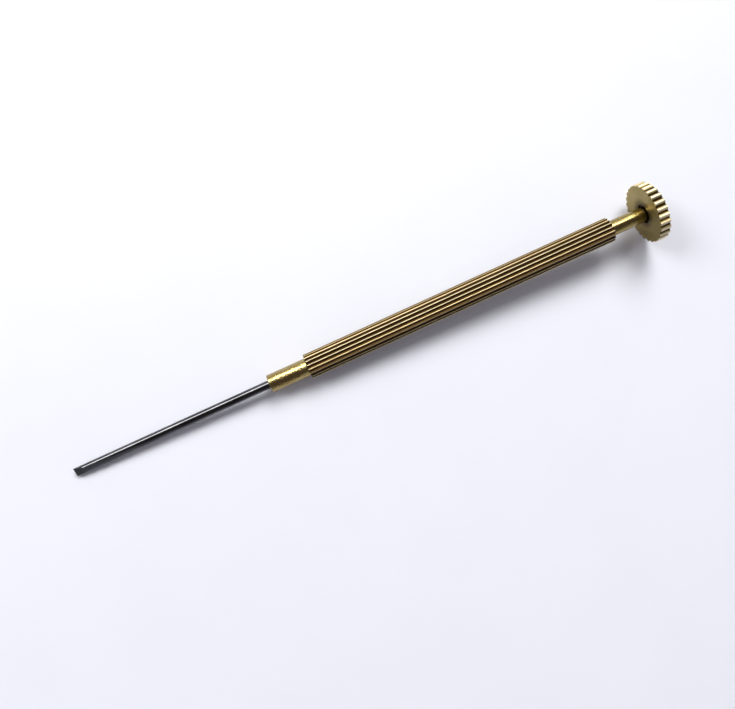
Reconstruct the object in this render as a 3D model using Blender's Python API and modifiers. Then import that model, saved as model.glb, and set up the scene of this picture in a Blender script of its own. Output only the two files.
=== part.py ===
"""Watchmaker's screwdriver with a fluted brass handle and a revolving finger wheel.

Units are metres. The tool lies along +X, blade first, on the rim of its wheel, so the origin
is below its middle on the surface that the rim touches.

Each piece is drawn along its own +Z, from the station where it starts. The tool axis empty
turns that +Z to world +X, and its own +X to world -Z, so an angle about the tool axis is
counted from straight down towards world +Y.
"""

import math

import bmesh
import bpy

MM = 0.001

# Fits
SEAT_GAP = 0.02 * MM
PRESS_GAP = 0.02 * MM
RUNNING_GAP = 0.04 * MM
MERGE_DISTANCE = 0.0002 * MM
CUT_PAST = 0.3 * MM

# Roundness: sides of the polygon that stands for a circle
ROUND_SIDES = 48
SMALL_SIDES = 32
SMOOTH_ANGLE = math.radians(30)

# Blade
BLADE_RADIUS = 0.6 * MM
BLADE_EXPOSED = 29.5 * MM
BLADE_SEATED = 10.5 * MM
BLADE_REAR_CHAMFER = 0.12 * MM
TIP_THICKNESS = 0.22 * MM
TIP_GRIND_LENGTH = 2.0 * MM
TIP_CLOCKING = math.radians(20)

# Collar, the nose that holds the blade
COLLAR_RADIUS = 1.3 * MM
COLLAR_LENGTH = 5.8 * MM
COLLAR_CHAMFER = 0.08 * MM
SPIGOT_RADIUS = 1.0 * MM
COLLAR_SPIGOT_LENGTH = 5.0 * MM

# Set screw that clamps the blade from below
SET_SCREW_RADIUS = 0.5 * MM
SET_SCREW_OFFSET = 2.9 * MM
SET_SCREW_INNER_END = 0.5 * MM
SET_SCREW_OUTER_END = 1.17 * MM
SET_SCREW_SLOT_WIDTH = 0.16 * MM
SET_SCREW_SLOT_DEPTH = 0.25 * MM
BLADE_FLAT_HEIGHT = SET_SCREW_INNER_END - SEAT_GAP
BLADE_FLAT_LEAD = 0.8 * MM

# Handle
HANDLE_RADIUS = 1.8 * MM
HANDLE_LENGTH = 47.0 * MM
FLUTE_COUNT = 18
FLUTE_DEPTH = 0.2 * MM
FLUTE_STEPS = 4
CREST_HALF_ANGLE = math.radians(2.0)
FLUTE_CLOCKING = math.radians(16)
HANDLE_BORE_SPARE = 0.5 * MM

# Neck
NECK_RADIUS = 1.125 * MM
NECK_LENGTH = 5.4 * MM
NECK_CHAMFER = 0.05 * MM
NECK_SPIGOT_LENGTH = 6.0 * MM

# Finger wheel
WHEEL_RADIUS = 4.35 * MM
WHEEL_THICKNESS = 1.5 * MM
TOOTH_COUNT = 26
TOOTH_DEPTH = 0.34 * MM
TOOTH_CREST_HALF_ANGLE = math.radians(1.4)
WHEEL_RECESS_RADIUS = 1.38 * MM
WHEEL_RECESS_DEPTH = 0.5 * MM
WHEEL_WEB = 0.5 * MM
DISH_RADIUS = 3.2 * MM
DISH_DEPTH = 0.3 * MM
COUNTERBORE_RADIUS = 1.6 * MM

# Pivot screw and its washers
PIVOT_RADIUS = 0.65 * MM
PIVOT_THREAD_RADIUS = 0.5 * MM
PIVOT_THREAD_LENGTH = 3.0 * MM
PIVOT_HEAD_RADIUS = 1.3 * MM
PIVOT_HEAD_THICKNESS = 0.3 * MM
PIVOT_SLOT_WIDTH = 0.24 * MM
PIVOT_SLOT_DEPTH = 0.14 * MM
THRUST_WASHER_RADIUS = 1.25 * MM
THRUST_WASHER_THICKNESS = 0.2 * MM
CAP_WASHER_RADIUS = 1.42 * MM
CAP_WASHER_THICKNESS = 0.12 * MM

# Stations along the tool axis, from the tip of the blade
COLLAR_START = BLADE_EXPOSED
HANDLE_START = COLLAR_START + COLLAR_LENGTH
NECK_START = HANDLE_START + HANDLE_LENGTH
WHEEL_START = NECK_START + NECK_LENGTH
TOOL_LENGTH = WHEEL_START + WHEEL_THICKNESS
SET_SCREW_STATION = COLLAR_START + SET_SCREW_OFFSET
WEB_START = WHEEL_START + WHEEL_RECESS_DEPTH
WEB_END = WEB_START + WHEEL_WEB
THRUST_WASHER_START = WEB_START - RUNNING_GAP - THRUST_WASHER_THICKNESS
NECK_END = THRUST_WASHER_START - SEAT_GAP
CAP_WASHER_START = WEB_END + RUNNING_GAP
PIVOT_HEAD_START = CAP_WASHER_START + CAP_WASHER_THICKNESS + SEAT_GAP

# Turns a piece's +Z to the tool axis's +X, which is straight down
DOWNWARD = (0.0, math.pi / 2, 0.0)

# The wheel stands on the crests of two teeth with a groove between them
AXIS_HEIGHT = WHEEL_RADIUS * math.cos(math.pi / TOOTH_COUNT - TOOTH_CREST_HALF_ANGLE)

BRASS = (0.74, 0.53, 0.23)
BRASS_DULL = (0.60, 0.44, 0.20)
BRASS_WHEEL = (0.66, 0.52, 0.27)
BLADE_STEEL = (0.20, 0.20, 0.21)
SCREW_STEEL = (0.42, 0.42, 0.43)


def remove_everything():
    for obj in list(bpy.data.objects):
        bpy.data.objects.remove(obj, do_unlink=True)


def new_collection(name):
    collection = bpy.data.collections.new(name)
    bpy.context.scene.collection.children.link(collection)
    return collection


def metal(name, colour, roughness):
    material = bpy.data.materials.new(name)
    material.use_nodes = True
    shader = material.node_tree.nodes["Principled BSDF"]
    shader.inputs["Base Color"].default_value = (*colour, 1.0)
    shader.inputs["Metallic"].default_value = 1.0
    shader.inputs["Roughness"].default_value = roughness
    return material


def polar(radius, angle):
    return radius * math.cos(angle), radius * math.sin(angle)


def solidified(obj, collection):
    """Replaces a curve or a modified mesh with the mesh it shows."""
    bpy.context.view_layer.update()
    depsgraph = bpy.context.evaluated_depsgraph_get()
    mesh = bpy.data.meshes.new_from_object(obj.evaluated_get(depsgraph), depsgraph=depsgraph)
    weld = bmesh.new()
    weld.from_mesh(mesh)
    bmesh.ops.remove_doubles(weld, verts=weld.verts, dist=MERGE_DISTANCE)
    weld.to_mesh(mesh)
    weld.free()
    mesh.shade_smooth()
    mesh.set_sharp_from_angle(angle=SMOOTH_ANGLE)
    solid = bpy.data.objects.new("solid", mesh)
    solid.matrix_world = obj.matrix_world
    collection.objects.link(solid)
    name = obj.name
    bpy.data.objects.remove(obj, do_unlink=True)
    solid.name = name
    mesh.name = name
    return solid


def turned(name, collection, profile, sides=ROUND_SIDES):
    """Turns (radius, height) points about Z. They run down the outer side, then up a bore."""
    is_ring = profile[0][0] > 0
    corners = [(radius, 0.0, height) for radius, height in profile]
    edges = [(index, index + 1) for index in range(len(corners) - 1)]
    if is_ring:
        edges.append((len(corners) - 1, 0))
    mesh = bpy.data.meshes.new(name)
    mesh.from_pydata(corners, edges, [])
    obj = bpy.data.objects.new(name, mesh)
    collection.objects.link(obj)
    turn = obj.modifiers.new("turn", "SCREW")
    turn.axis = "Z"
    turn.steps = sides
    turn.render_steps = sides
    turn.use_merge_vertices = True
    turn.merge_threshold = MERGE_DISTANCE
    return solidified(obj, collection)


def prism(name, collection, outline, length):
    """Extrudes a closed outline from Z = 0 to Z = length."""
    curve = bpy.data.curves.new(name, "CURVE")
    curve.dimensions = "2D"
    curve.fill_mode = "BOTH"
    curve.extrude = length / 2
    spline = curve.splines.new("POLY")
    spline.points.add(len(outline) - 1)
    for point, (x, y) in zip(spline.points, outline):
        point.co = (x, y, 0.0, 1.0)
    spline.use_cyclic_u = True
    obj = bpy.data.objects.new(name, curve)
    collection.objects.link(obj)
    solid = solidified(obj, collection)
    for vertex in solid.data.vertices:
        vertex.co.z += length / 2
    return solid


def block(name, collection, size):
    bpy.ops.mesh.primitive_cube_add(size=1.0)
    obj = bpy.context.active_object
    obj.name = name
    for vertex in obj.data.vertices:
        vertex.co = [value * extent for value, extent in zip(vertex.co, size)]
    for owner in list(obj.users_collection):
        owner.objects.unlink(obj)
    collection.objects.link(obj)
    return obj


def place(obj, parent, station, offset=(0.0, 0.0), rotation=(0.0, 0.0, 0.0)):
    obj.parent = parent
    obj.location = (offset[0], offset[1], station)
    obj.rotation_euler = rotation


def cut(target, cutter):
    cutter.display_type = "WIRE"
    cutter.hide_render = True
    hole = target.modifiers.new(cutter.name, "BOOLEAN")
    hole.operation = "DIFFERENCE"
    hole.solver = "EXACT"
    hole.object = cutter


def make_blade(parts, cutters, axis):
    length = BLADE_EXPOSED + BLADE_SEATED
    profile = [
        (0.0, length),
        (BLADE_RADIUS - BLADE_REAR_CHAMFER, length),
        (BLADE_RADIUS, length - BLADE_REAR_CHAMFER),
        (BLADE_RADIUS, 0.0),
        (0.0, 0.0),
    ]
    blade = turned("blade", parts, profile, SMALL_SIDES)
    place(blade, axis, 0.0)

    # Two ground flats meet the round rod where the grind ends and leave a thin edge at the tip.
    grind_angle = math.atan((BLADE_RADIUS - TIP_THICKNESS / 2) / TIP_GRIND_LENGTH)
    grinder_size = 3 * TIP_GRIND_LENGTH
    for side in range(2):
        clocking = TIP_CLOCKING + side * math.pi
        grinder = block(f"tip_grinder_{side}", cutters, (grinder_size,) * 3)
        out = TIP_THICKNESS / 2 + grinder_size / 2 * math.cos(grind_angle)
        station = -grinder_size / 2 * math.sin(grind_angle)
        place(grinder, axis, station, polar(out, clocking), (0.0, grind_angle, clocking))
        cut(blade, grinder)

    flat_start = SET_SCREW_STATION - SET_SCREW_RADIUS - BLADE_FLAT_LEAD
    flat_length = length + CUT_PAST - flat_start
    planer = block("blade_flat_planer", cutters, (BLADE_RADIUS, 3 * BLADE_RADIUS, flat_length))
    planer_middle = BLADE_FLAT_HEIGHT + BLADE_RADIUS / 2
    place(planer, axis, flat_start + flat_length / 2, (planer_middle, 0.0))
    cut(blade, planer)
    return blade


def make_collar(parts, cutters, axis):
    top = COLLAR_LENGTH + COLLAR_SPIGOT_LENGTH
    shoulder = COLLAR_LENGTH - SEAT_GAP
    bore = BLADE_RADIUS + RUNNING_GAP
    profile = [
        (SPIGOT_RADIUS, top),
        (SPIGOT_RADIUS, shoulder),
        (COLLAR_RADIUS, shoulder),
        (COLLAR_RADIUS, COLLAR_CHAMFER),
        (COLLAR_RADIUS - COLLAR_CHAMFER, 0.0),
        (bore, 0.0),
        (bore, top),
    ]
    collar = turned("nose_collar", parts, profile)
    place(collar, axis, COLLAR_START)

    drill_radius = SET_SCREW_RADIUS + RUNNING_GAP
    drill_end = 2 * COLLAR_RADIUS
    drill_profile = [(0.0, drill_end), (drill_radius, drill_end), (drill_radius, 0.0), (0.0, 0.0)]
    drill = turned("set_screw_drill", cutters, drill_profile, SMALL_SIDES)
    place(drill, axis, SET_SCREW_STATION, rotation=DOWNWARD)
    cut(collar, drill)
    return collar


def cut_slot(screw, cutters, axis, size, station, offset=(0.0, 0.0)):
    slot = block(f"{screw.name}_slot", cutters, size)
    place(slot, axis, station, offset)
    cut(screw, slot)


def make_set_screw(parts, cutters, axis):
    profile = [
        (0.0, SET_SCREW_OUTER_END),
        (SET_SCREW_RADIUS, SET_SCREW_OUTER_END),
        (SET_SCREW_RADIUS, SET_SCREW_INNER_END),
        (0.0, SET_SCREW_INNER_END),
    ]
    screw = turned("blade_set_screw", parts, profile, SMALL_SIDES)
    place(screw, axis, SET_SCREW_STATION, rotation=DOWNWARD)

    slot_height = SET_SCREW_SLOT_DEPTH + CUT_PAST
    slot_middle = SET_SCREW_OUTER_END - SET_SCREW_SLOT_DEPTH + slot_height / 2
    size = (slot_height, SET_SCREW_SLOT_WIDTH, 3 * SET_SCREW_RADIUS)
    cut_slot(screw, cutters, axis, size, SET_SCREW_STATION, (slot_middle, 0.0))
    return screw


def handle_outline():
    """Narrow crests with a hollow flute between each pair."""
    pitch = math.tau / FLUTE_COUNT
    flute_angle = pitch - 2 * CREST_HALF_ANGLE
    outline = []
    for crest in range(FLUTE_COUNT):
        flute_start = FLUTE_CLOCKING + crest * pitch + CREST_HALF_ANGLE
        outline.append(polar(HANDLE_RADIUS, flute_start - 2 * CREST_HALF_ANGLE))
        for step in range(FLUTE_STEPS):
            share = step / FLUTE_STEPS
            depth = FLUTE_DEPTH * math.sin(math.pi * share)
            outline.append(polar(HANDLE_RADIUS - depth, flute_start + share * flute_angle))
    return outline


def make_handle(parts, cutters, axis):
    handle = prism("handle_grip", parts, handle_outline(), HANDLE_LENGTH)
    place(handle, axis, HANDLE_START)

    radius = SPIGOT_RADIUS + PRESS_GAP
    front_depth = COLLAR_SPIGOT_LENGTH + HANDLE_BORE_SPARE
    rear_depth = NECK_SPIGOT_LENGTH + HANDLE_BORE_SPARE
    bores = (
        ("handle_front_bore", -CUT_PAST, front_depth),
        ("handle_rear_bore", HANDLE_LENGTH - rear_depth, HANDLE_LENGTH + CUT_PAST),
    )
    for name, bottom, top in bores:
        drill = turned(name, cutters, [(0.0, top), (radius, top), (radius, bottom), (0.0, bottom)])
        place(drill, axis, HANDLE_START)
        cut(handle, drill)
    return handle


def make_neck(parts, axis):
    bottom = -NECK_SPIGOT_LENGTH
    top = NECK_END - NECK_START
    bore = PIVOT_THREAD_RADIUS + PRESS_GAP
    bore_bottom = top - PIVOT_THREAD_LENGTH - CUT_PAST
    profile = [
        (0.0, bore_bottom),
        (bore, bore_bottom),
        (bore, top),
        (NECK_RADIUS - NECK_CHAMFER, top),
        (NECK_RADIUS, top - NECK_CHAMFER),
        (NECK_RADIUS, SEAT_GAP),
        (SPIGOT_RADIUS, SEAT_GAP),
        (SPIGOT_RADIUS, bottom),
        (0.0, bottom),
    ]
    neck = turned("neck_spindle", parts, profile)
    place(neck, axis, NECK_START)
    return neck


def make_washer(name, parts, axis, station, radius, thickness):
    bore = PIVOT_RADIUS + RUNNING_GAP
    washer = turned(name, parts, [(radius, thickness), (radius, 0.0), (bore, 0.0), (bore, thickness)])
    place(washer, axis, station)
    return washer


def make_thrust_washer(parts, axis):
    station = THRUST_WASHER_START
    return make_washer("thrust_washer", parts, axis, station, THRUST_WASHER_RADIUS, THRUST_WASHER_THICKNESS)


def make_cap_washer(parts, axis):
    station = CAP_WASHER_START
    return make_washer("cap_washer", parts, axis, station, CAP_WASHER_RADIUS, CAP_WASHER_THICKNESS)


def wheel_outline():
    """Pointed teeth with narrow crests and sharp grooves, and a groove straight down."""
    pitch = math.tau / TOOTH_COUNT
    steps = (
        (-TOOTH_CREST_HALF_ANGLE, WHEEL_RADIUS),
        (TOOTH_CREST_HALF_ANGLE, WHEEL_RADIUS),
        (pitch / 2, WHEEL_RADIUS - TOOTH_DEPTH),
    )
    outline = []
    for tooth in range(TOOTH_COUNT):
        middle = (tooth + 0.5) * pitch
        for angle, radius in steps:
            outline.append(polar(radius, middle + angle))
    return outline


def make_wheel(parts, cutters, axis):
    wheel = prism("finger_wheel", parts, wheel_outline(), WHEEL_THICKNESS)
    place(wheel, axis, WHEEL_START)

    web_end = WHEEL_RECESS_DEPTH + WHEEL_WEB
    bore = PIVOT_RADIUS + RUNNING_GAP
    dish_slope = (DISH_RADIUS - COUNTERBORE_RADIUS) / DISH_DEPTH
    profile = [
        (0.0, WHEEL_THICKNESS + CUT_PAST),
        (DISH_RADIUS + dish_slope * CUT_PAST, WHEEL_THICKNESS + CUT_PAST),
        (COUNTERBORE_RADIUS, WHEEL_THICKNESS - DISH_DEPTH),
        (COUNTERBORE_RADIUS, web_end),
        (bore, web_end),
        (bore, WHEEL_RECESS_DEPTH),
        (WHEEL_RECESS_RADIUS, WHEEL_RECESS_DEPTH),
        (WHEEL_RECESS_RADIUS, -CUT_PAST),
        (0.0, -CUT_PAST),
    ]
    hollow = turned("wheel_hollow", cutters, profile)
    place(hollow, axis, WHEEL_START)
    cut(wheel, hollow)
    return wheel


def make_pivot_screw(parts, cutters, axis):
    shoulder_seat = NECK_END + SEAT_GAP
    thread_end = NECK_END - PIVOT_THREAD_LENGTH
    head_end = PIVOT_HEAD_START + PIVOT_HEAD_THICKNESS
    profile = [
        (0.0, head_end - thread_end),
        (PIVOT_HEAD_RADIUS, head_end - thread_end),
        (PIVOT_HEAD_RADIUS, PIVOT_HEAD_START - thread_end),
        (PIVOT_RADIUS, PIVOT_HEAD_START - thread_end),
        (PIVOT_RADIUS, shoulder_seat - thread_end),
        (PIVOT_THREAD_RADIUS, shoulder_seat - thread_end),
        (PIVOT_THREAD_RADIUS, 0.0),
        (0.0, 0.0),
    ]
    screw = turned("pivot_screw", parts, profile)
    place(screw, axis, thread_end)

    slot_height = PIVOT_SLOT_DEPTH + CUT_PAST
    size = (3 * PIVOT_HEAD_RADIUS, PIVOT_SLOT_WIDTH, slot_height)
    cut_slot(screw, cutters, axis, size, head_end - PIVOT_SLOT_DEPTH + slot_height / 2)
    return screw


def main():
    remove_everything()
    parts = new_collection("watchmaker_screwdriver")
    cutters = new_collection("cutters")

    axis = bpy.data.objects.new("tool_axis", None)
    axis.location = (-TOOL_LENGTH / 2, 0.0, AXIS_HEIGHT)
    axis.rotation_euler = (0.0, math.pi / 2, 0.0)
    parts.objects.link(axis)

    pieces = (
        (make_blade(parts, cutters, axis), BLADE_STEEL, 0.22),
        (make_collar(parts, cutters, axis), BRASS, 0.2),
        (make_set_screw(parts, cutters, axis), SCREW_STEEL, 0.3),
        (make_handle(parts, cutters, axis), BRASS_DULL, 0.25),
        (make_neck(parts, axis), BRASS, 0.2),
        (make_thrust_washer(parts, axis), SCREW_STEEL, 0.35),
        (make_wheel(parts, cutters, axis), BRASS_WHEEL, 0.3),
        (make_cap_washer(parts, axis), SCREW_STEEL, 0.35),
        (make_pivot_screw(parts, cutters, axis), SCREW_STEEL, 0.25),
    )
    for piece, colour, roughness in pieces:
        piece.data.materials.clear()
        piece.data.materials.append(metal(piece.name, colour, roughness))


main()
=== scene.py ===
"""Studio scene for the watchmaker's screwdriver.

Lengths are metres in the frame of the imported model: +X runs from the blade's tip to the finger
wheel and +Z is up. The tool really lies on its wheel and its tip, so the floor slopes under it.
"""

import math

import bmesh
import bpy
from mathutils import Matrix, Vector


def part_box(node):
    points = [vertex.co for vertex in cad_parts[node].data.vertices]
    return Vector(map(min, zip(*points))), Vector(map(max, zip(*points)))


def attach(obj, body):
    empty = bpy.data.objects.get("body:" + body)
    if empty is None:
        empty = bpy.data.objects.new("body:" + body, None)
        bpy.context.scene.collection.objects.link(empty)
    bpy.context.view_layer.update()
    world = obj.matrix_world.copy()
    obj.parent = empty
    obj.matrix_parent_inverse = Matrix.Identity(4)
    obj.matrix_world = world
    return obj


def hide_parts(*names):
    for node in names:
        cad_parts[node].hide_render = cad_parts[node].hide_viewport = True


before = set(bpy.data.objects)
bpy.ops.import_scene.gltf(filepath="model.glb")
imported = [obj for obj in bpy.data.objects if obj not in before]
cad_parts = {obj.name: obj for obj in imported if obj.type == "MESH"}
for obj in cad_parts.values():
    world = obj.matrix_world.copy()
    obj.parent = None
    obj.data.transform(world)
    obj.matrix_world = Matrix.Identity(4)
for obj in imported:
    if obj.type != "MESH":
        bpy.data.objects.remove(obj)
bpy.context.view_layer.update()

MM = 0.001

# Places along the tool, from the frame
BLADE_LOW, BLADE_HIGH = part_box("blade")
COLLAR_LOW, COLLAR_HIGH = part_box("nose_collar")
HANDLE_LOW, HANDLE_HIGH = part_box("handle_grip")
NECK_LOW, NECK_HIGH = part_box("neck_spindle")
WHEEL_LOW, WHEEL_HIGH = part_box("finger_wheel")
THRUST_LOW, THRUST_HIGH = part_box("thrust_washer")
CAP_LOW, CAP_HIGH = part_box("cap_washer")
PIVOT_LOW, PIVOT_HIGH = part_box("pivot_screw")
SET_SCREW_LOW, SET_SCREW_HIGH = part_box("blade_set_screw")
TIP_X = BLADE_LOW[0]
AXIS_HEIGHT = (NECK_LOW[2] + NECK_HIGH[2]) / 2
AXIS = Vector((0.0, 0.0, AXIS_HEIGHT))

# Turned sizes
BLADE_RADIUS = 0.6 * MM
COLLAR_RADIUS = 1.3 * MM
SPIGOT_RADIUS = 1.0 * MM
HANDLE_RADIUS = 1.8 * MM
NECK_RADIUS = 1.125 * MM
WHEEL_RADIUS = 4.349 * MM
PIVOT_RADIUS = 0.65 * MM
PIVOT_THREAD_RADIUS = 0.5 * MM
BORE_GAP = 0.03 * MM

# Ground tip of the blade
TIP_THICKNESS = 0.22 * MM
TIP_GRIND_LENGTH = 2.0 * MM
TIP_CLOCKING = math.radians(20)
BLADE_REAR_CHAMFER = 0.12 * MM
BLADE_FLAT_LEAD = 0.8 * MM

# Flutes of the handle
FLUTE_COUNT = 18
FLUTE_DEPTH = 0.2 * MM
FLUTE_SHARPNESS = 0.9
FLUTE_CLOCKING = math.radians(16)
FLUTE_STEPS = 20

# Teeth and faces of the finger wheel
TOOTH_COUNT = 26
TOOTH_DEPTH = 0.34 * MM
TOOTH_CREST_SHARE = 0.2
TOOTH_CREST_ROUNDING = 0.06
TOOTH_STEPS = 20
RECESS_RADIUS = 1.38 * MM
RECESS_DEPTH = 0.5 * MM
WEB_THICKNESS = 0.5 * MM
RECESS_SHADE_RADIUS = 2.7 * MM
DISH_RADIUS = 3.2 * MM
DISH_DEPTH = 0.3 * MM
COUNTERBORE_RADIUS = 1.6 * MM

# Slots, as width and depth
SET_SCREW_SLOT = (0.16 * MM, 0.25 * MM)
PIVOT_SLOT = (0.24 * MM, 0.14 * MM)

# Cutters reach past a piece, and are this many times as wide as the size they have to clear
CUTTER_PAST = 0.3 * MM
CUTTER_WIDTH = 3

# Edges, and the hair's breadth between the axis and the profile of a piece without a bore
FINE_EDGE = 0.025 * MM
SOFT_EDGE = 0.06 * MM
CORE_RADIUS = 0.02 * MM
FILLET_STEPS = 3
ROUND_SIDES = 96
SET_SCREW_SIDES = 48
SMOOTH_ANGLE = math.radians(28)

# Camera, from the tool's axis at the tip
CAMERA_ALONG = 40.5 * MM
CAMERA_ASIDE = -1.9 * MM
CAMERA_ABOVE = 98.1 * MM
CAMERA_TILT = math.radians(-1.82)
CAMERA_ROLL = math.radians(-24.5)
CAMERA_LENS = 34.2
CAMERA_SENSOR = 36.0
CAMERA_NEAR = 1 * MM

# Half of the table's side
TABLE_HALF = 1.5

# The flag is a dark card over the tool: two corners in the frame, and its height over the axis
FLAG_LOW = (-100 * MM, -240 * MM)
FLAG_HIGH = (130 * MM, 12 * MM)
FLAG_HEIGHT = 99 * MM
FLAG_COLOUR = (0.13, 0.108, 0.11)

# The metal sees a room that goes from dim to bright towards +Y, and the table gets a weaker fill
ROOM_TURN = (-0.4, 0.5)
ROOM_DIM = (0.56, 0.57, 0.61)
ROOM_BRIGHT = (0.77, 0.78, 0.81)
ROOM_FILL = (0.222, 0.214, 0.245)

# Soft boxes: name, place from the middle of the tool's axis, direction of the first side, size,
# radiance, colour, and what the light reaches
WARM = (1.0, 0.97, 0.93)
COOL = (0.96, 0.972, 1.0)
LIGHTS = (
    ("window", (0.36, 0.55, 0.63), (1.0, 1.0, 0.0), (0.42, 0.42), 13.1, COOL, "table"),
    ("window_left", (-0.45, 0.46, 0.6), (1.0, 1.0, 0.0), (0.36, 0.36), 9.0, COOL, "table"),
    ("strip_near", (-0.04, 0.392, 0.5), (0.9, -0.5, 0.0), (0.76, 0.15), 17.0, WARM, "metal"),
    ("strip_far", (0.0, 0.85, 0.5), (1.0, 0.0, 0.0), (1.4, 0.18), 1.8, WARM, "metal"),
    ("glint", (0.43, 0.4, 0.5), (0.28, 0.96, 0.0), (0.4, 0.14), 8.0, WARM, "metal"),
)

# Sockets of a mix node for colours, whose names aren't unique
MIX_FIRST = 6
MIX_SECOND = 7
MIX_RESULT = 2


# ---------------------------------------------------------------- shapes


def filleted(corners, size, closed):
    """Rounds the corners of a profile of (x, radius) points. Open ends stay as they are.

    A corner takes up at most a third of each of its edges.
    """
    points = []
    last = len(corners) - 1
    for index, corner in enumerate(corners):
        here = Vector(corner)
        if not closed and index in (0, last):
            points.append(here)
            continue
        before = Vector(corners[index - 1]) - here
        after = Vector(corners[(index + 1) % len(corners)]) - here
        reach = min(size, before.length / 3, after.length / 3)
        start = here + before.normalized() * reach
        end = here + after.normalized() * reach
        for step in range(FILLET_STEPS + 1):
            share = step / FILLET_STEPS
            points.append(
                start * (1 - share) ** 2 + here * (2 * share * (1 - share)) + end * share**2
            )
    return points


def ring(x, radius_at, sides):
    """Points round the tool's axis. Angles are counted from straight down towards +Y."""
    points = []
    for side in range(sides):
        angle = math.tau * side / sides
        radius = radius_at(angle)
        points.append(Vector((x, radius * math.sin(angle), AXIS_HEIGHT - radius * math.cos(angle))))
    return points


def made_of(name, form, material):
    """An object of one material with the shape of a form, which is used up."""
    mesh = bpy.data.meshes.new(name)
    form.to_mesh(mesh)
    form.free()
    mesh.materials.append(material)
    made = bpy.data.objects.new(name, mesh)
    bpy.context.scene.collection.objects.link(made)
    return made


def shade(mesh):
    """Smooth shading with sharp edges where faces meet steeply."""
    mesh.shade_smooth()
    mesh.set_sharp_from_angle(angle=SMOOTH_ANGLE)


def lofted(name, rings, closed, material):
    """A skin over rings of equal count. A closed loft joins its last ring to its first."""
    form = bmesh.new()
    loops = [[form.verts.new(point) for point in points] for points in rings]
    sides = len(loops[0])
    for index in range(len(loops) if closed else len(loops) - 1):
        near = loops[index]
        far = loops[(index + 1) % len(loops)]
        for side in range(sides):
            after = (side + 1) % sides
            form.faces.new((near[side], near[after], far[after], far[side]))
    if not closed:
        form.faces.new(loops[0])
        form.faces.new(loops[-1])
    bmesh.ops.recalc_face_normals(form, faces=form.faces)
    piece = made_of(name, form, material)
    shade(piece.data)
    shading = piece.modifiers.new("flat faces stay flat", "WEIGHTED_NORMAL")
    shading.keep_sharp = True
    return piece


def turned(name, profile, closed, material, outline=None, sides=ROUND_SIDES):
    """Turns a profile about the tool's axis, and trims it to an outline such as flutes."""
    rings = []
    for x, radius in profile:
        if outline is None:
            rings.append(ring(x, lambda angle, radius=radius: radius, sides))
        else:
            rings.append(ring(x, lambda angle, radius=radius: min(radius, outline(angle)), sides))
    return lofted(name, rings, closed, material)


def block(name, size, matrix, material):
    """A box that cuts."""
    form = bmesh.new()
    bmesh.ops.create_cube(form, size=1.0, matrix=matrix @ Matrix.Diagonal((*size, 1.0)))
    return made_of(name, form, material)


def carve(piece, cutters):
    """Takes the cutters out of a piece for good. The cut faces keep the cutter's material."""
    for cutter in cutters:
        cut = piece.modifiers.new(cutter.name, "BOOLEAN")
        cut.operation = "DIFFERENCE"
        cut.solver = "EXACT"
        cut.material_mode = "TRANSFER"
        cut.object = cutter
    depsgraph = bpy.context.evaluated_depsgraph_get()
    depsgraph.update()
    mesh = bpy.data.meshes.new_from_object(piece.evaluated_get(depsgraph), depsgraph=depsgraph)
    for cutter in cutters:
        piece.modifiers.remove(piece.modifiers[cutter.name])
        bpy.data.objects.remove(cutter, do_unlink=True)
    shade(mesh)
    piece.data = mesh


# ---------------------------------------------------------------- materials


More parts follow.
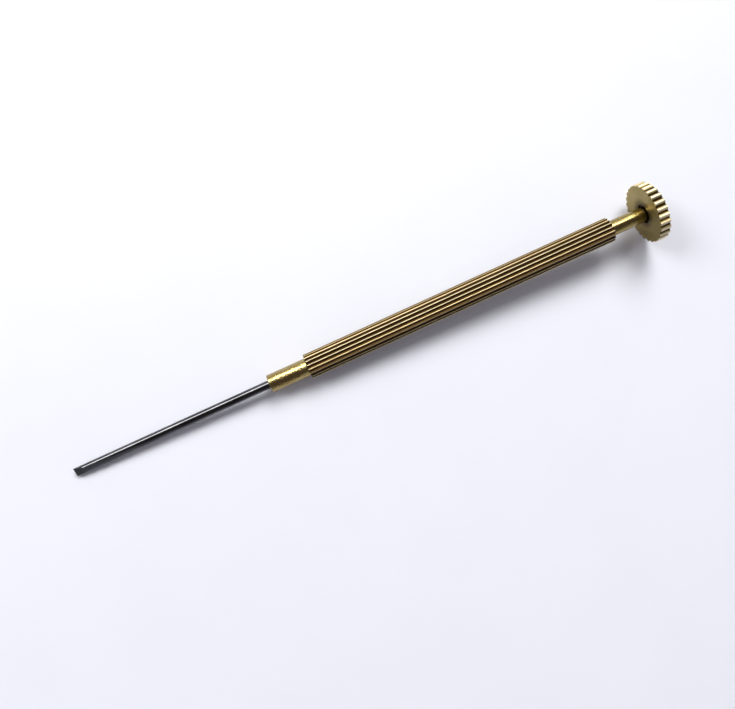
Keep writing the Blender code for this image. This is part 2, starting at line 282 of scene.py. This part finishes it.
class Surface:
    """A material that starts as a metal, and short ways to add the nodes that feed its shader."""

    def __init__(self, name, roughness):
        self.material = bpy.data.materials.new(name)
        self.material.use_nodes = True
        self.tree = self.material.node_tree
        self.shader = self.tree.nodes["Principled BSDF"]
        self.shader.inputs["Metallic"].default_value = 1.0
        self.shader.inputs["Roughness"].default_value = roughness
        coordinates = self.add("ShaderNodeTexCoord")
        self.place = coordinates.outputs["Object"]
        self.facing = coordinates.outputs["Normal"]

    def add(self, kind, **values):
        """A node. Values that are sockets are linked, and the others are set."""
        made = self.tree.nodes.new(kind)
        for name, value in values.items():
            socket = made.inputs[name.replace("_", " ")]
            if isinstance(value, bpy.types.NodeSocket):
                self.tree.links.new(value, socket)
            else:
                socket.default_value = value
        return made

    def scaled(self, scale):
        """The place, stretched by a scale for each axis."""
        return self.add("ShaderNodeMapping", Vector=self.place, Scale=scale).outputs["Vector"]

    def noise(self, scale, detail):
        """Noise with features of about 1 / scale metres, given for each axis."""
        made = self.add("ShaderNodeTexNoise", Vector=self.scaled(scale), Scale=1.0, Detail=detail)
        made.inputs["Roughness"].default_value = NOISE_ROUGHNESS
        return made.outputs["Fac"]

    def axis_distance(self):
        """Distance from the tool's axis."""
        shift = self.add("ShaderNodeVectorMath")
        shift.operation = "SUBTRACT"
        shift.inputs[1].default_value = AXIS
        self.tree.links.new(self.place, shift.inputs[0])
        flatten = self.add("ShaderNodeVectorMath")
        flatten.operation = "MULTIPLY"
        flatten.inputs[1].default_value = (0.0, 1.0, 1.0)
        self.tree.links.new(shift.outputs["Vector"], flatten.inputs[0])
        length = self.add("ShaderNodeVectorMath")
        length.operation = "LENGTH"
        self.tree.links.new(flatten.outputs["Vector"], length.inputs[0])
        return length.outputs["Value"]

    def off_axis(self):
        """0 on faces that look along the tool, and 1 on the surfaces round it."""
        split = self.add("ShaderNodeSeparateXYZ", Vector=self.facing)
        size = self.add("ShaderNodeMath")
        size.operation = "ABSOLUTE"
        self.tree.links.new(split.outputs["X"], size.inputs[0])
        return self.ranged(size.outputs["Value"], *FACE_TURN, 1.0, 0.0)

    def ranged(self, value, low, high, to_low=0.0, to_high=1.0):
        """A value taken smoothly from one range to another, and held at its ends."""
        made = self.add("ShaderNodeMapRange", Value=value)
        made.interpolation_type = "SMOOTHSTEP"
        made.inputs["From Min"].default_value = low
        made.inputs["From Max"].default_value = high
        made.inputs["To Min"].default_value = to_low
        made.inputs["To Max"].default_value = to_high
        return made.outputs["Result"]

    def combined(self, operation, first, second):
        """Two values from 0 to 1 added or multiplied, and held at 1."""
        made = self.add("ShaderNodeMath")
        made.operation = operation
        made.use_clamp = True
        self.tree.links.new(first, made.inputs[0])
        self.tree.links.new(second, made.inputs[1])
        return made.outputs["Value"]

    def mixed(self, share, first, second):
        """A mix of two colours, each a colour or a socket. A share of 1 gives the second."""
        made = self.add("ShaderNodeMix")
        made.data_type = "RGBA"
        self.tree.links.new(share, made.inputs["Factor"])
        for place, value in ((MIX_FIRST, first), (MIX_SECOND, second)):
            if isinstance(value, bpy.types.NodeSocket):
                self.tree.links.new(value, made.inputs[place])
            else:
                made.inputs[place].default_value = (*value, 1.0)
        return made.outputs[MIX_RESULT]

    def colour(self, socket):
        self.tree.links.new(socket, self.shader.inputs["Base Color"])

    def roughness(self, socket):
        self.tree.links.new(socket, self.shader.inputs["Roughness"])

    def bump(self, height, depth, strength=1.0, under=None):
        """Relief of a height from 0 to 1 and a depth in metres."""
        made = self.add("ShaderNodeBump", Height=height, Distance=depth, Strength=strength)
        if under is not None:
            self.tree.links.new(under, made.inputs["Normal"])
        return made.outputs["Normal"]

    def normal(self, socket):
        self.tree.links.new(socket, self.shader.inputs["Normal"])


BRASS = (0.36, 0.28, 0.118)
BRASS_WARM = (0.32, 0.235, 0.09)
BRASS_OLIVE = (0.30, 0.245, 0.09)
# Brighter brass for the wheel's worn teeth and the handle's rubbed crests, partly wear and partly a
# painted highlight.
BRASS_WORN_AND_HIGHLIGHT = (0.72, 0.62, 0.42)
BRASS_RUBBED_AND_HIGHLIGHT = (0.55, 0.46, 0.295)
TARNISH = (0.07, 0.042, 0.015)
# Dark brown of grime and painted shade, in the handle's hollows and the wheel's roots, and painted
# shade alone on the wheel's face round the recess.
GRIME_AND_PAINTED_SHADE = (0.035, 0.018, 0.006)
STEEL_DARK = (0.085, 0.087, 0.093)
STEEL_DARKER = (0.055, 0.056, 0.06)
STEEL = (0.30, 0.30, 0.31)
STEEL_BLACK = (0.03, 0.028, 0.026)
TABLE_PALE = (0.85, 0.855, 0.885)
TABLE_SMUDGED = (0.838, 0.842, 0.877)
TABLE_SPECULAR = 0.35

# Noise scales, in features for each metre: along the tool and across it
CLOUDS = (260.0, 500.0, 500.0)
SPECKS = (2600.0, 2600.0, 2600.0)
TURNING = (22000.0, 160.0, 160.0)
DRAWING = (120.0, 9000.0, 9000.0)
WAVES = (900.0, 900.0, 900.0)
DENTS = (3600.0, 2600.0, 2600.0)
SMUDGES = (55.0, 55.0, 55.0)
FACE_RINGS = 12000.0

# How fine the noise gets within its features
SMOOTH = 2.0
CLOUDY = 3.0
GRAINED = 4.0
SPECKLED = 5.0
NOISE_ROUGHNESS = 0.55

# Where a noise from 0 to 1 begins to show and where it shows in full, and how strong specks get
BRASS_CLOUDS_SHOW = (0.38, 0.66)
STEEL_CLOUDS_SHOW = (0.35, 0.7)
SPECKS_SHOW = (0.62, 0.74)
GRAIN_SHOWS = (0.3, 0.7)
SMUDGES_SHOW = (0.35, 0.75)
SPECKS_SHARE = 0.55

# Least and most roughness along a grain, as shares of the metal's own
TURNED_SHARES = (0.75, 1.35)
DRAWN_SHARES = (0.7, 1.4)

# Roughness of the handle from clean to dirty, and of the wheel along its rings
HANDLE_ROUGHNESS = (0.28, 0.5)
WHEEL_ROUGHNESS = (0.42, 0.54)

# Wear with a painted highlight on the crests, and grime with painted shade in the hollows of the
# handle, in flute depths below the crests
CREST_WEAR_AND_HIGHLIGHT_DEPTH = 0.15
HOLLOW_GRIME_AND_SHADE_DEPTH = 0.34
HOLLOW_CLEAR_DEPTH = 0.03

# Wear with a painted highlight and grime with painted shade on the wheel's rim, in tooth depths
# above the roots
RIM_BEGINS = (-0.3, 0.0)
ROOTS_CLEAR = (0.25, 0.6)
TEETH_WEAR_AND_HIGHLIGHT = (0.5, 0.9)

# How much grime with painted shade covers the roots, and how strong the painted shade is in the
# ring round the recess
ROOTS_SHARE = 0.95
RECESS_SHADE_SHARE = 0.75

# Share of a normal that points along the tool, where the rim ends and where a face begins
FACE_TURN = (0.4, 0.8)


def brass_base(name, bright, dull, roughness):
    """Brass whose tone drifts over a few millimetres, with fine dark specks of age."""
    surface = Surface(name, roughness)
    clouds = surface.ranged(surface.noise(CLOUDS, CLOUDY), *BRASS_CLOUDS_SHOW)
    tone = surface.mixed(clouds, bright, dull)
    specks = surface.ranged(surface.noise(SPECKS, SPECKLED), *SPECKS_SHOW, 0.0, SPECKS_SHARE)
    return surface, surface.mixed(specks, tone, TARNISH), specks


def turned_brass(name, bright, dull, roughness, ripple, ripple_depth):
    """Brass off a lathe: rings across the axis, over a surface that isn't quite true."""
    surface, tone, _ = brass_base(name, bright, dull, roughness)
    surface.colour(tone)
    rings = surface.noise(TURNING, GRAINED)
    least, most = (roughness * share for share in TURNED_SHARES)
    surface.roughness(surface.ranged(rings, *GRAIN_SHOWS, least, most))
    coarse = surface.bump(surface.noise(ripple, SMOOTH), depth=ripple_depth)
    surface.normal(surface.bump(rings, depth=0.012 * MM, strength=0.8, under=coarse))
    return surface.material


def handle_brass():
    """Fluted brass: crests worn bright with a painted highlight, and hollows darkened by grime and
    painted shade.
    """
    surface, tone, specks = brass_base("handle_fluted_brass", BRASS, BRASS_WARM, roughness=0.3)
    distance = surface.axis_distance()
    # The crests get brighter brass, which is partly wear and partly a painted highlight. The
    # hollows get dark brown, which is partly grime and partly painted shade.
    wear_and_highlight = surface.ranged(distance, HANDLE_RADIUS - CREST_WEAR_AND_HIGHLIGHT_DEPTH * FLUTE_DEPTH, HANDLE_RADIUS)
    dark_radius = HANDLE_RADIUS - HOLLOW_GRIME_AND_SHADE_DEPTH * FLUTE_DEPTH
    clear_radius = HANDLE_RADIUS - HOLLOW_CLEAR_DEPTH * FLUTE_DEPTH
    hollow = surface.ranged(distance, dark_radius, clear_radius, 1.0, 0.0)
    surface.colour(surface.mixed(hollow, surface.mixed(wear_and_highlight, tone, BRASS_RUBBED_AND_HIGHLIGHT), GRIME_AND_PAINTED_SHADE))
    dirt = surface.combined("ADD", hollow, specks)
    surface.roughness(surface.ranged(dirt, 0.0, 1.0, *HANDLE_ROUGHNESS))
    coarse = surface.bump(surface.noise(WAVES, SMOOTH), depth=0.003 * MM)
    lines = surface.noise(DRAWING, GRAINED)
    surface.normal(surface.bump(lines, depth=0.001 * MM, strength=0.6, under=coarse))
    return surface.material


def above_roots(heights):
    """Radii at heights on the wheel's teeth, given in tooth depths above the roots."""
    return [WHEEL_RADIUS - TOOTH_DEPTH + height * TOOTH_DEPTH for height in heights]


def wheel_brass():
    """Brass with fine rings on its faces, teeth worn bright with a painted highlight, roots
    darkened by grime and painted shade, and painted shade on the face round the recess.
    """
    surface, tone, _ = brass_base("wheel_satin_brass", BRASS, BRASS_OLIVE, roughness=0.34)
    distance = surface.axis_distance()
    # The roots get dark brown, which is partly grime and partly painted shade. The outer half of
    # the teeth gets brighter brass, which is partly wear and partly a painted highlight.
    dark = surface.ranged(distance, *above_roots(ROOTS_CLEAR), ROOTS_SHARE, 0.0)
    edge = surface.ranged(distance, *above_roots(RIM_BEGINS))
    rim = surface.combined("MULTIPLY", edge, surface.off_axis())
    roots = surface.combined("MULTIPLY", dark, rim)
    wear_and_highlight = surface.ranged(distance, *above_roots(TEETH_WEAR_AND_HIGHLIGHT))
    toothed = surface.mixed(roots, surface.mixed(wear_and_highlight, tone, BRASS_WORN_AND_HIGHLIGHT), GRIME_AND_PAINTED_SHADE)
    # Painted shade on the face round the recess, where the neck's dark reflection and shadow fall.
    oiled = surface.ranged(distance, RECESS_RADIUS, RECESS_SHADE_RADIUS, RECESS_SHADE_SHARE, 0.0)
    surface.colour(surface.mixed(oiled, toothed, GRIME_AND_PAINTED_SHADE))
    outward = surface.add("ShaderNodeCombineXYZ", X=distance).outputs["Vector"]
    face = surface.add("ShaderNodeTexNoise", Vector=outward, Scale=FACE_RINGS, Detail=GRAINED)
    rings = face.outputs["Fac"]
    surface.roughness(surface.ranged(rings, *GRAIN_SHOWS, *WHEEL_ROUGHNESS))
    coarse = surface.bump(surface.noise(WAVES, SMOOTH), depth=0.01 * MM)
    surface.normal(surface.bump(rings, depth=0.003 * MM, strength=0.5, under=coarse))
    return surface.material


def drawn_steel(name, bright, dark, roughness, grain, depth):
    """Dark polished steel with fine lines along its grain."""
    surface = Surface(name, roughness)
    clouds = surface.ranged(surface.noise(CLOUDS, CLOUDY), *STEEL_CLOUDS_SHOW)
    surface.colour(surface.mixed(clouds, bright, dark))
    lines = surface.noise(grain, GRAINED)
    least, most = (roughness * share for share in DRAWN_SHARES)
    surface.roughness(surface.ranged(lines, *GRAIN_SHOWS, least, most))
    coarse = surface.bump(surface.noise(WAVES, SMOOTH), depth=0.008 * MM)
    surface.normal(surface.bump(lines, depth=depth, strength=0.6, under=coarse))
    return surface.material


def table_white():
    """A pale satin surface with faint smudges."""
    surface = Surface("pale_table", roughness=0.42)
    surface.shader.inputs["Metallic"].default_value = 0.0
    surface.shader.inputs["Specular IOR Level"].default_value = TABLE_SPECULAR
    smudges = surface.ranged(surface.noise(SMUDGES, SMOOTH), *SMUDGES_SHOW)
    surface.colour(surface.mixed(smudges, TABLE_PALE, TABLE_SMUDGED))
    return surface.material


# ---------------------------------------------------------------- pieces


def off_crest(angle, count):
    """Distance from the nearest crest, from 0 on it to 1 in the middle of a groove."""
    turn = angle / math.tau * count
    return abs(turn - round(turn)) * 2


def flute_outline(angle):
    """Rounded crests that are narrower than the hollows between them."""
    share = off_crest(angle - FLUTE_CLOCKING, FLUTE_COUNT)
    hollow = (0.5 - 0.5 * math.cos(math.pi * share)) ** FLUTE_SHARPNESS
    return HANDLE_RADIUS - FLUTE_DEPTH * hollow


def tooth_outline(angle):
    """Pointed teeth with slightly rounded crests, and a sharp groove straight down."""
    share = off_crest(angle + math.pi / TOOTH_COUNT, TOOTH_COUNT)
    flank = (share - TOOTH_CREST_SHARE) / (1 - TOOTH_CREST_SHARE)
    drop = (flank + math.hypot(flank, TOOTH_CREST_ROUNDING)) / 2
    return WHEEL_RADIUS - TOOTH_DEPTH * drop


def make_blade():
    """A drawn rod with two slanted flats ground at its tip."""
    steel = drawn_steel(
        "blade_steel_drawn",
        STEEL_DARK,
        STEEL_DARKER,
        roughness=0.13,
        grain=DRAWING,
        depth=0.001 * MM,
    )
    ground = drawn_steel(
        "blade_steel_ground",
        STEEL_DARKER,
        STEEL_DARK,
        roughness=0.34,
        grain=TURNING,
        depth=0.006 * MM,
    )
    front, rear = BLADE_LOW[0], BLADE_HIGH[0]
    profile = [
        (front, BLADE_RADIUS),
        (rear - BLADE_REAR_CHAMFER, BLADE_RADIUS),
        (rear, BLADE_RADIUS - BLADE_REAR_CHAMFER),
    ]
    blade = turned("blade_rod", profile, closed=False, material=steel)

    # Two slanted blocks leave the thin tip, and a third cuts the flat for the set screw.
    size = CUTTER_WIDTH * TIP_GRIND_LENGTH
    grind_angle = math.atan((BLADE_RADIUS - TIP_THICKNESS / 2) / TIP_GRIND_LENGTH)
    cutters = []
    for side in (1, -1):
        matrix = (
            Matrix.Translation((front, 0.0, AXIS_HEIGHT))
            @ Matrix.Rotation(TIP_CLOCKING, 4, "X")
            @ Matrix.Translation((0.0, 0.0, side * TIP_THICKNESS / 2))
            @ Matrix.Rotation(-side * grind_angle, 4, "Y")
            @ Matrix.Translation((0.0, 0.0, side * size / 2))
        )
        cutters.append(block(f"grinder{side}", (size, size, size), matrix, ground))
    flat_start = SET_SCREW_LOW[0] - BLADE_FLAT_LEAD
    flat_length = rear - flat_start + CUTTER_PAST
    flat_size = (flat_length, CUTTER_WIDTH * BLADE_RADIUS, BLADE_RADIUS)
    flat_top = SET_SCREW_HIGH[2] + BORE_GAP / 2
    flat_middle = (flat_start + flat_length / 2, 0.0, flat_top - BLADE_RADIUS / 2)
    cutters.append(block("flat", flat_size, Matrix.Translation(flat_middle), ground))
    carve(blade, cutters)
    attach(blade, "blade")
    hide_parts("blade")


def set_screw_place():
    """Where the set screw's middle lies along the tool, and its radius."""
    middle = (SET_SCREW_LOW[0] + SET_SCREW_HIGH[0]) / 2
    return middle, (SET_SCREW_HIGH[0] - SET_SCREW_LOW[0]) / 2


def drill_for_set_screw(material):
    """A drill that runs from the tool's axis straight down at the set screw."""
    middle, screw_radius = set_screw_place()
    radius = screw_radius + BORE_GAP
    depth = 2 * COLLAR_RADIUS
    form = bmesh.new()
    bmesh.ops.create_cone(
        form,
        cap_ends=True,
        segments=SET_SCREW_SIDES,
        radius1=radius,
        radius2=radius,
        depth=depth,
        matrix=Matrix.Translation((middle, 0.0, AXIS_HEIGHT - depth / 2)),
    )
    return made_of("drill", form, material)


def make_collar():
    """A sleeve round the blade, whose rear end is a spigot in the handle."""
    brass = turned_brass(
        "collar_turned_brass",
        BRASS,
        BRASS_WARM,
        roughness=0.18,
        ripple=DENTS,
        ripple_depth=0.06 * MM,
    )
    front, rear = COLLAR_LOW[0], COLLAR_HIGH[0]
    shoulder = HANDLE_LOW[0] - BORE_GAP / 2
    bore = BLADE_RADIUS + BORE_GAP
    corners = [
        (front, bore),
        (front, COLLAR_RADIUS),
        (shoulder, COLLAR_RADIUS),
        (shoulder, SPIGOT_RADIUS),
        (rear, SPIGOT_RADIUS),
        (rear, bore),
    ]
    profile = filleted(corners, SOFT_EDGE, closed=True)
    collar = turned("collar_sleeve", profile, closed=True, material=brass)
    carve(collar, [drill_for_set_screw(brass)])
    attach(collar, "handle")
    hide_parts("nose_collar")


def make_set_screw(steel):
    """A headless screw that stands upside down in the collar, with its slot at the bottom."""
    low, high = SET_SCREW_LOW[2], SET_SCREW_HIGH[2]
    middle, radius = set_screw_place()
    angles = [math.tau * side / SET_SCREW_SIDES for side in range(SET_SCREW_SIDES)]
    corners = [(low, CORE_RADIUS), (low, radius), (high, radius), (high, CORE_RADIUS)]
    rings = []
    for height, reach in filleted(corners, FINE_EDGE, closed=False):
        rings.append(
            [Vector((middle + reach * math.cos(a), reach * math.sin(a), height)) for a in angles]
        )
    screw = lofted("set_screw", rings, closed=False, material=steel)
    width, depth = SET_SCREW_SLOT
    size = (CUTTER_WIDTH * radius, width, depth + CUTTER_PAST)
    place = Matrix.Translation((middle, 0.0, low + depth - size[2] / 2))
    carve(screw, [block("slot", size, place, steel)])
    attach(screw, "set_screw")
    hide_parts("blade_set_screw")


def make_handle():
    """A tube with straight flutes all the way along."""
    bore = SPIGOT_RADIUS + BORE_GAP
    front, rear = HANDLE_LOW[0], HANDLE_HIGH[0]
    corners = [(front, bore), (front, HANDLE_RADIUS), (rear, HANDLE_RADIUS), (rear, bore)]
    profile = filleted(corners, SOFT_EDGE, closed=True)
    sides = FLUTE_COUNT * FLUTE_STEPS
    handle = turned("handle_fluted", profile, True, handle_brass(), flute_outline, sides)
    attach(handle, "handle")
    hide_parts("handle_grip")


def make_neck():
    """A smooth post with a spigot in the handle, and a bore for the pivot screw."""
    brass = turned_brass(
        "neck_turned_brass",
        BRASS_WARM,
        BRASS_OLIVE,
        roughness=0.17,
        ripple=WAVES,
        ripple_depth=0.01 * MM,
    )
    front, rear = NECK_LOW[0], NECK_HIGH[0]
    shoulder = HANDLE_HIGH[0] + BORE_GAP / 2
    bore = PIVOT_THREAD_RADIUS + BORE_GAP
    bore_end = PIVOT_LOW[0] - BORE_GAP
    corners = [
        (front, CORE_RADIUS),
        (front, SPIGOT_RADIUS),
        (shoulder, SPIGOT_RADIUS),
        (shoulder, NECK_RADIUS),
        (rear, NECK_RADIUS),
        (rear, bore),
        (bore_end, bore),
        (bore_end, CORE_RADIUS),
    ]
    profile = filleted(corners, FINE_EDGE, closed=False)
    neck = turned("neck_post", profile, closed=False, material=brass)
    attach(neck, "handle")
    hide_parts("neck_spindle")


def make_washer(name, low, high, node, steel):
    """A flat ring round the pivot screw, between the low and high corners of its node."""
    bore = PIVOT_RADIUS + BORE_GAP
    radius = (high[1] - low[1]) / 2
    corners = [(low[0], bore), (low[0], radius), (high[0], radius), (high[0], bore)]
    profile = filleted(corners, FINE_EDGE, closed=True)
    washer = turned(name, profile, closed=True, material=steel)
    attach(washer, "handle")
    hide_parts(node)


def make_wheel():
    """A toothed wheel with a recess round the neck, a thin web and a dished outer face."""
    front, rear = WHEEL_LOW[0], WHEEL_HIGH[0]
    web_front = front + RECESS_DEPTH
    web_rear = web_front + WEB_THICKNESS
    bore = PIVOT_RADIUS + BORE_GAP
    corners = [
        (front, RECESS_RADIUS),
        (front, WHEEL_RADIUS),
        (rear, WHEEL_RADIUS),
        (rear, DISH_RADIUS),
        (rear - DISH_DEPTH, COUNTERBORE_RADIUS),
        (web_rear, COUNTERBORE_RADIUS),
        (web_rear, bore),
        (web_front, bore),
        (web_front, RECESS_RADIUS),
    ]
    profile = filleted(corners, SOFT_EDGE, closed=True)
    sides = TOOTH_COUNT * TOOTH_STEPS
    wheel = turned("wheel_toothed", profile, True, wheel_brass(), tooth_outline, sides)
    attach(wheel, "wheel")
    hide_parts("finger_wheel")


def make_pivot_screw(steel):
    """A shouldered screw that the wheel turns on, with a slot in its head."""
    front, rear = PIVOT_LOW[0], PIVOT_HIGH[0]
    head_front = CAP_HIGH[0] + BORE_GAP / 2
    head_radius = (PIVOT_HIGH[1] - PIVOT_LOW[1]) / 2
    seat = NECK_HIGH[0] + BORE_GAP / 2
    corners = [
        (front, CORE_RADIUS),
        (front, PIVOT_THREAD_RADIUS),
        (seat, PIVOT_THREAD_RADIUS),
        (seat, PIVOT_RADIUS),
        (head_front, PIVOT_RADIUS),
        (head_front, head_radius),
        (rear, head_radius),
        (rear, CORE_RADIUS),
    ]
    profile = filleted(corners, SOFT_EDGE, closed=False)
    screw = turned("wheel_pivot_screw", profile, closed=False, material=steel)
    width, depth = PIVOT_SLOT
    size = (depth + CUTTER_PAST, width, CUTTER_WIDTH * head_radius)
    place = Matrix.Translation((rear - depth + size[0] / 2, 0.0, AXIS_HEIGHT))
    carve(screw, [block("slot", size, place, steel)])
    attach(screw, "handle")
    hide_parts("pivot_screw")


# ---------------------------------------------------------------- stage


def make_floor():
    """A pale table that touches the wheel's rim and the end of the blade's ground flats."""
    touch_wheel = Vector((WHEEL_LOW[0], 0.0, WHEEL_LOW[2]))
    touch_blade = Vector((TIP_X + TIP_GRIND_LENGTH, 0.0, AXIS_HEIGHT - BLADE_RADIUS))
    slope = math.atan2(touch_blade.z - touch_wheel.z, touch_wheel.x - touch_blade.x)
    form = bmesh.new()
    bmesh.ops.create_grid(form, x_segments=1, y_segments=1, size=TABLE_HALF)
    floor = made_of("table", form, table_white())
    floor.location = touch_wheel
    floor.rotation_euler = (0.0, slope, 0.0)


def make_area_light(name, place, along, size, radiance, colour, lights):
    """A soft box that faces the tool and lights the table, or shows in the metal."""
    data = bpy.data.lights.new(name, "AREA")
    data.shape = "RECTANGLE"
    data.size, data.size_y = size
    data.energy = radiance * math.pi * size[0] * size[1]
    data.color = colour
    light = bpy.data.objects.new(name, data)
    back = Vector(place).normalized()
    side = back.cross(Vector(along)).normalized()
    turn = Matrix((side.cross(back), side, back)).transposed().to_4x4()
    light.matrix_world = Matrix.Translation(AXIS + Vector(place)) @ turn
    light.visible_camera = False
    light.visible_diffuse = lights == "table"
    light.visible_glossy = lights == "metal"
    bpy.context.scene.collection.objects.link(light)


def flag_glow():
    """A material that gives off an even colour and reflects nothing."""
    glow = bpy.data.materials.new("flag_dark")
    glow.use_nodes = True
    shader = glow.node_tree.nodes["Principled BSDF"]
    shader.inputs["Base Color"].default_value = (0.0, 0.0, 0.0, 1.0)
    shader.inputs["Specular IOR Level"].default_value = 0.0
    shader.inputs["Emission Color"].default_value = (*FLAG_COLOUR, 1.0)
    shader.inputs["Emission Strength"].default_value = 1.0
    glow.cycles.emission_sampling = "NONE"
    return glow


def make_flag():
    """A dark card over the tool, as the camera and its holder are. It shows only in the metal."""
    low, high = FLAG_LOW, FLAG_HIGH
    corners = ((low[0], low[1]), (high[0], low[1]), (high[0], high[1]), (low[0], high[1]))
    form = bmesh.new()
    form.faces.new([form.verts.new((x, y, AXIS_HEIGHT + FLAG_HEIGHT)) for x, y in corners])
    flag = made_of("flag", form, flag_glow())
    flag.visible_camera = False
    flag.visible_diffuse = False
    flag.visible_shadow = False


def make_world():
    """A pale room, less bright on the side that the shadows fall on, and weaker as a fill."""
    world = bpy.data.worlds.new("room")
    world.use_nodes = True
    bpy.context.scene.world = world
    tree = world.node_tree
    background = tree.nodes["Background"]
    place = tree.nodes.new("ShaderNodeTexCoord")
    split = tree.nodes.new("ShaderNodeSeparateXYZ")
    tree.links.new(place.outputs["Generated"], split.inputs["Vector"])
    side = tree.nodes.new("ShaderNodeMapRange")
    side.interpolation_type = "SMOOTHSTEP"
    side.inputs["From Min"].default_value, side.inputs["From Max"].default_value = ROOM_TURN
    tree.links.new(split.outputs["Y"], side.inputs["Value"])
    room = tree.nodes.new("ShaderNodeMix")
    room.data_type = "RGBA"
    room.inputs[MIX_FIRST].default_value = (*ROOM_DIM, 1.0)
    room.inputs[MIX_SECOND].default_value = (*ROOM_BRIGHT, 1.0)
    tree.links.new(side.outputs["Result"], room.inputs["Factor"])
    rays = tree.nodes.new("ShaderNodeLightPath")
    seen = tree.nodes.new("ShaderNodeMix")
    seen.data_type = "RGBA"
    seen.inputs[MIX_SECOND].default_value = (*ROOM_FILL, 1.0)
    tree.links.new(rays.outputs["Is Diffuse Ray"], seen.inputs["Factor"])
    tree.links.new(room.outputs[MIX_RESULT], seen.inputs[MIX_FIRST])
    tree.links.new(seen.outputs[MIX_RESULT], background.inputs["Color"])


def make_camera():
    """A camera close above the tool that looks almost straight down."""
    data = bpy.data.cameras.new("camera")
    data.lens = CAMERA_LENS
    data.sensor_width = CAMERA_SENSOR
    data.clip_start = CAMERA_NEAR
    camera = bpy.data.objects.new("camera", data)
    turn = Matrix.Rotation(CAMERA_TILT, 4, "Y") @ Matrix.Rotation(CAMERA_ROLL, 4, "Z")
    place = Vector((TIP_X + CAMERA_ALONG, CAMERA_ASIDE, AXIS_HEIGHT + CAMERA_ABOVE))
    camera.matrix_world = Matrix.Translation(place) @ turn
    bpy.context.scene.collection.objects.link(camera)
    bpy.context.scene.camera = camera


make_camera()
make_world()
make_flag()
for light_row in LIGHTS:
    make_area_light(*light_row)
make_floor()
screw_steel = drawn_steel(
    "screw_steel_turned",
    STEEL,
    STEEL_DARK,
    roughness=0.28,
    grain=TURNING,
    depth=0.003 * MM,
)
black_steel = drawn_steel(
    "washer_steel_oiled",
    STEEL_BLACK,
    STEEL_DARKER,
    roughness=0.4,
    grain=TURNING,
    depth=0.003 * MM,
)
make_blade()
make_collar()
make_set_screw(screw_steel)
make_handle()
make_neck()
make_washer("washer_inner", THRUST_LOW, THRUST_HIGH, "thrust_washer", black_steel)
make_wheel()
make_washer("washer_outer", CAP_LOW, CAP_HIGH, "cap_washer", screw_steel)
make_pivot_screw(screw_steel)
bpy.context.scene.view_settings.view_transform = "Standard"
